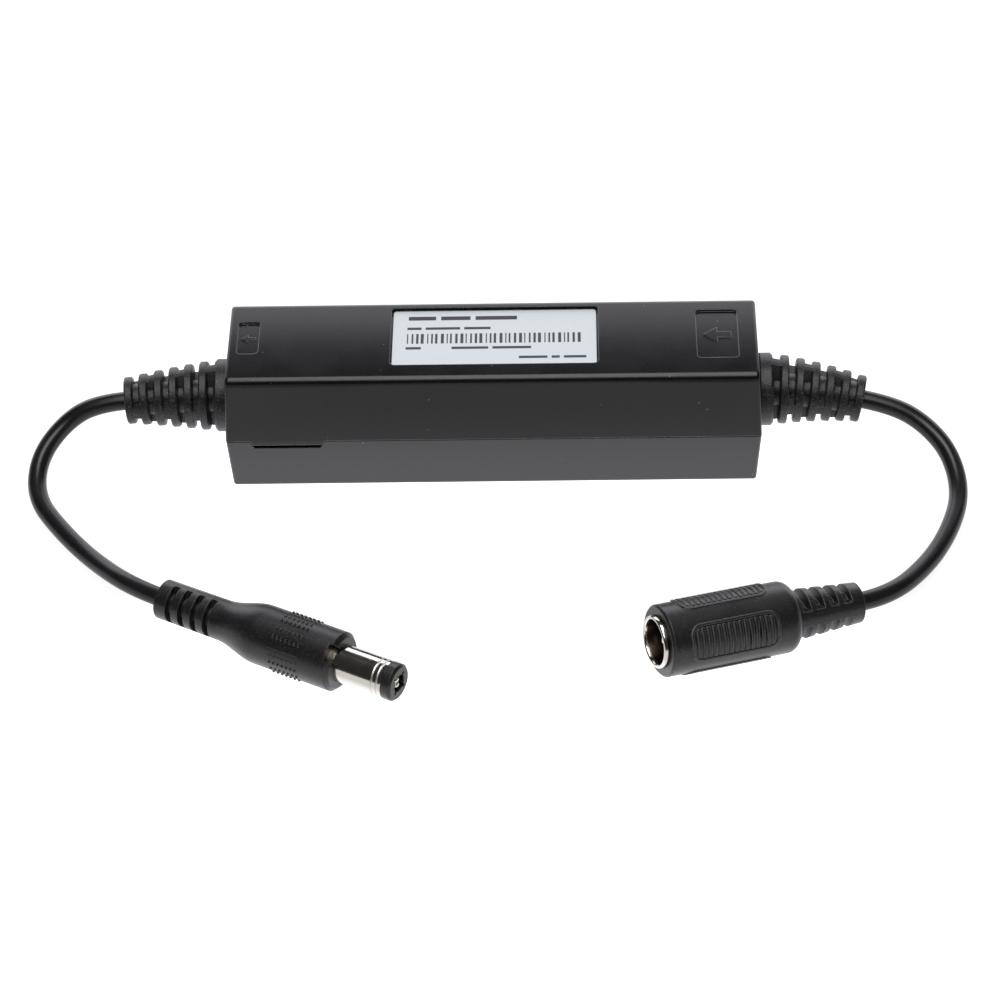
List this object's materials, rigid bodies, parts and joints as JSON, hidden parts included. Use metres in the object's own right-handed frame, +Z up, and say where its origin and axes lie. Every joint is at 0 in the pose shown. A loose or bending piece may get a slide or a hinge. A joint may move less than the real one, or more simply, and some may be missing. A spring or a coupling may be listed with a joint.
{
  "type": "inline dc power isolator",
  "caption": "Small black in-line box that isolates a 12 V supply, with two short leads: a coaxial barrel plug on one, a coaxial barrel jack on the other.",
  "frame": {"origin": "centre of the case's outline, at the height of the surface that it stands on", "axes": "+X along the case towards the lead with the jack, +Z up through the labelled roof, -Y towards the side that the plug and the jack lie on"},
  "size_m": [0.1408, 0.0698, 0.0204],
  "materials": {
    "case_plastic": "black moulded plastic with a fine spark-eroded texture",
    "label_stock": "white satin film",
    "boot_rubber": "soft black moulded sleeve, satin",
    "lead_jacket": "soft black jacket, satin",
    "connector_moulding": "soft black overmoulding, satin",
    "nickel_plate": "bright nickel plate",
    "contact_plate": "tinned spring alloy",
    "tip_plastic": "hard black plastic",
    "board_laminate": "green solder mask",
    "ferrite": "ground dark ferrite",
    "bobbin_plastic": "black former",
    "winding_tape": "yellow insulating tape over wire",
    "enamelled_wire": "enamelled copper",
    "can_sleeve": "dark shrink sleeve",
    "package_plastic": "black moulding compound",
    "ceramic_coat": "blue epoxy coat",
    "fuse_body": "off-white ceramic",
    "chip_ceramic": "tan ceramic with tinned ends",
    "live_wire": "red insulation",
    "return_wire": "black insulation"
  },
  "bodies": {
    "root": {"upper_shell": "case_plastic", "lower_shell": "case_plastic", "rating_label": "label_stock", "output_boot": "boot_rubber", "input_boot": "boot_rubber", "output_lead": "lead_jacket", "input_lead": "lead_jacket", "plug_moulding": "connector_moulding", "plug_sleeve": "nickel_plate", "plug_insulator": "tip_plastic", "plug_centre_contact": "contact_plate", "jack_moulding": "connector_moulding", "jack_sleeve": "nickel_plate", "jack_insulator": "tip_plastic", "jack_centre_pin": "nickel_plate", "jack_spring_contact": "contact_plate", "circuit_board": "board_laminate", "transformer_core": "ferrite", "transformer_bobbin": "bobbin_plastic", "transformer_winding": "winding_tape", "choke_core": "ferrite", "choke_windings": "enamelled_wire", "input_capacitor": "can_sleeve", "output_capacitor": "can_sleeve", "controller_chip": "package_plastic", "optocoupler": "package_plastic", "rectifier_diode": "package_plastic", "switching_transistor": "package_plastic", "isolation_capacitor": "ceramic_coat", "input_fuse": "fuse_body", "chip_components": "chip_ceramic", "input_live_wire": "live_wire", "input_return_wire": "return_wire", "output_live_wire": "live_wire", "output_return_wire": "return_wire"}
  },
  "joints": []
}
